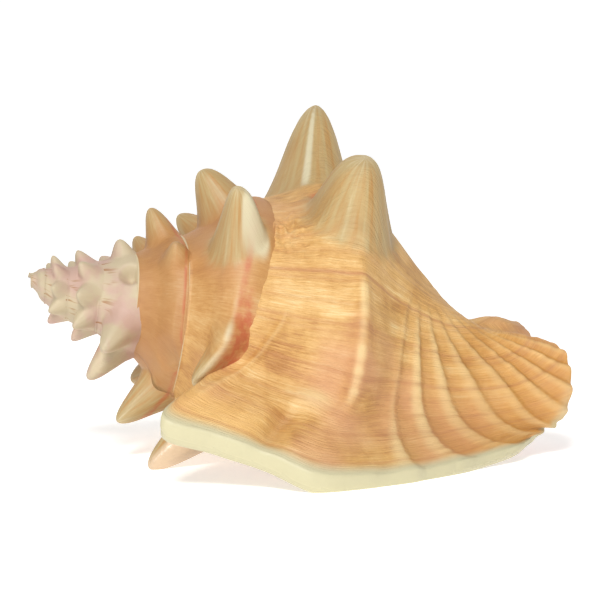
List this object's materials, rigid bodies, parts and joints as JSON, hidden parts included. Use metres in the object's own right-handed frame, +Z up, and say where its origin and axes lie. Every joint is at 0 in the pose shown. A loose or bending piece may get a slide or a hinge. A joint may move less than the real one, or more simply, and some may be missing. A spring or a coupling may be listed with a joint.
{
  "type": "conch shell",
  "caption": "Spined conch shell lying on its opening, with a stepped pointed spire, blunt horns on the shoulder, a ribbed body and a broad flared lip.",
  "frame": {"origin": "bottom centre of the bounding box, on the plane the shell rests on", "axes": "+X towards the front end, away from the spire; -Y towards the side the flared lip is on; +Z up"},
  "size_m": [0.2245, 0.171, 0.1458],
  "materials": {
    "weathered_shell": "weathered aragonite, dull to satin outside, peach over cream, glossy pink in the opening"
  },
  "bodies": {
    "root": {"conch_shell": "weathered_shell"}
  },
  "joints": []
}
